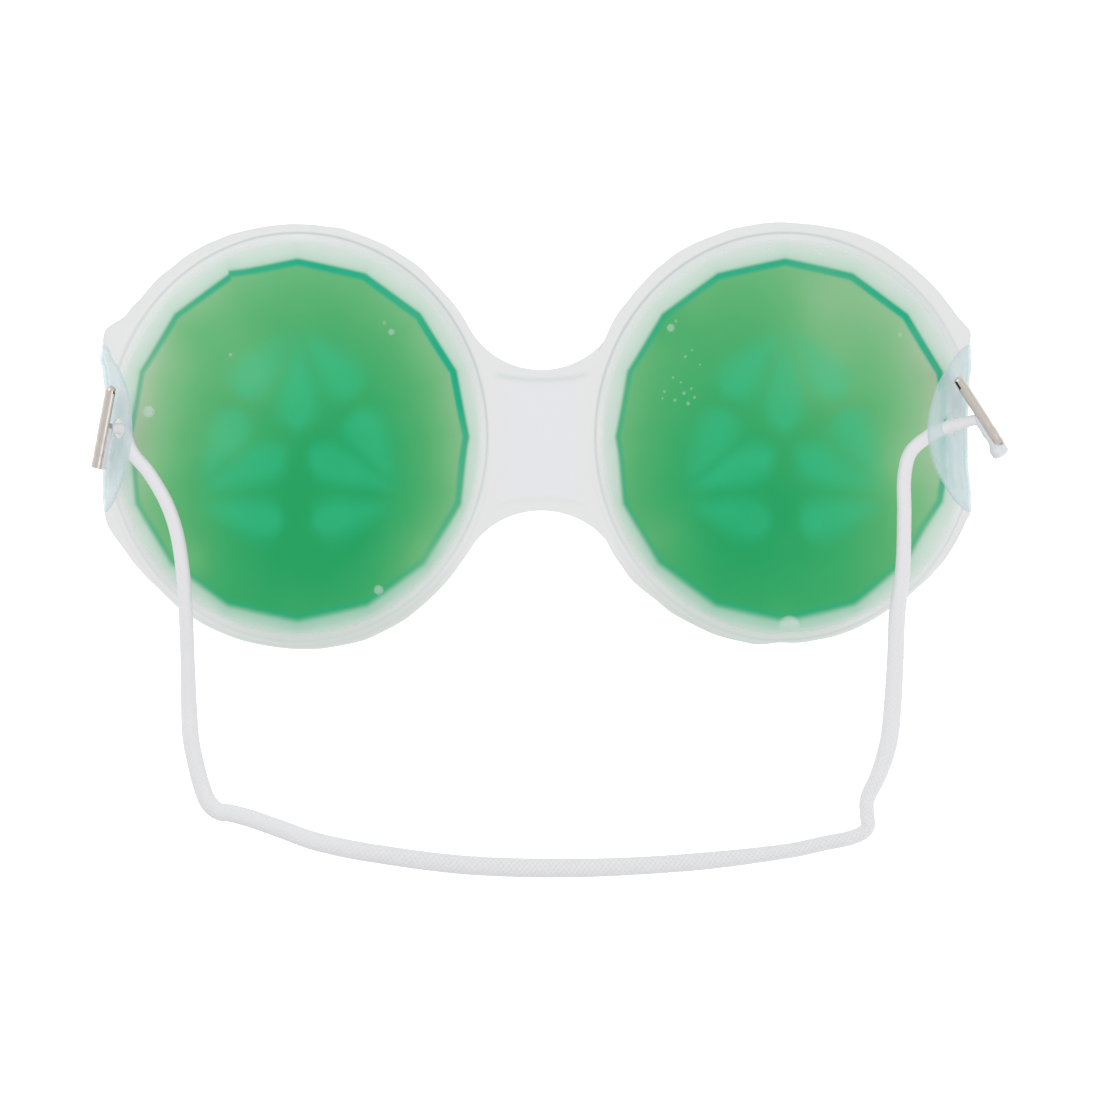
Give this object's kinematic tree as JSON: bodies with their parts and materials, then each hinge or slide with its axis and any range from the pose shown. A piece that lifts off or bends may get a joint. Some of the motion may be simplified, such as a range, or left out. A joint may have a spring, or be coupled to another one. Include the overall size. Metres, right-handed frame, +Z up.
{
  "type": "gel eye mask",
  "caption": "Gel eye mask for hot or cold use: round film pads filled with gel and joined by a nose web, folded side tabs with punched holes, and an elastic head cord held by metal barbs.",
  "frame": {"origin": "middle of the mask in x and y, on the surface that it lies on, measured without the head cord and barbs", "axes": "+X across the face from the left tab to the right tab as the mask lies, +Y towards the brow, +Z up out of the face side"},
  "size_m": [0.2024, 0.1429, 0.0143],
  "materials": {
    "back_film": "clear soft vinyl film, slightly cloudy, glossy",
    "front_film": "clear soft vinyl film, slightly cloudy, glossy",
    "print": "ink printed inside the front film: a green slice with pale seeds and a teal rim",
    "gel": "soft clear gel, tinted green, with small air bubbles",
    "web": "welded double film, embossed",
    "tab": "welded double film, folded, faintly blue",
    "barb": "rolled strip, warm grey, satin",
    "cord_tip": "melted end of the cord",
    "cord": "white braid over elastic strands"
  },
  "bodies": {
    "left_pad": {"left_back_film": "back_film", "left_front_film": "front_film", "left_print": "print", "left_gel": "gel", "left_web": "web", "cord_run": "cord"},
    "right_pad": {"right_back_film": "back_film", "right_front_film": "front_film", "right_print": "print", "right_gel": "gel", "right_web": "web"},
    "left_tab": {"left_tab": "tab", "left_cord_end": "cord"},
    "right_tab": {"right_tab": "tab", "right_cord_end": "cord"},
    "left_barb": {"left_barb": "barb", "left_cord_tip": "cord_tip"},
    "right_barb": {"right_barb": "barb", "right_cord_tip": "cord_tip"}
  },
  "joints": [
    {"name": "bridge_fold", "type": "hinge", "parent": "left_pad", "child": "right_pad", "pos_m": [0, 0, 0.00325], "axis": [0, 1, 0], "range_deg": [-150, 0], "deforming": ["cord_run"]},
    {"name": "left_tab_fold", "type": "hinge", "parent": "left_pad", "child": "left_tab", "pos_m": [-0.09455, 0, 0.00415], "axis": [0, -1, 0], "range_deg": [0, 130], "deforming": ["left_cord_end"]},
    {"name": "right_tab_fold", "type": "hinge", "parent": "right_pad", "child": "right_tab", "pos_m": [0.09295, 0, 0.00415], "axis": [0, 1, 0], "range_deg": [0, 141], "deforming": ["right_cord_end"]},
    {"name": "left_barb_swivel", "type": "hinge", "parent": "left_tab", "child": "left_barb", "pos_m": [-0.0957, 0.0018, 0.0111], "axis": [-0.8144, 0, 0.5804], "range_deg": [-90, 90]},
    {"name": "right_barb_swivel", "type": "hinge", "parent": "right_tab", "child": "right_barb", "pos_m": [0.097, 0.0042, 0.0123], "axis": [0.8467, 0.217, 0.4859], "range_deg": [-90, 90]}
  ]
}
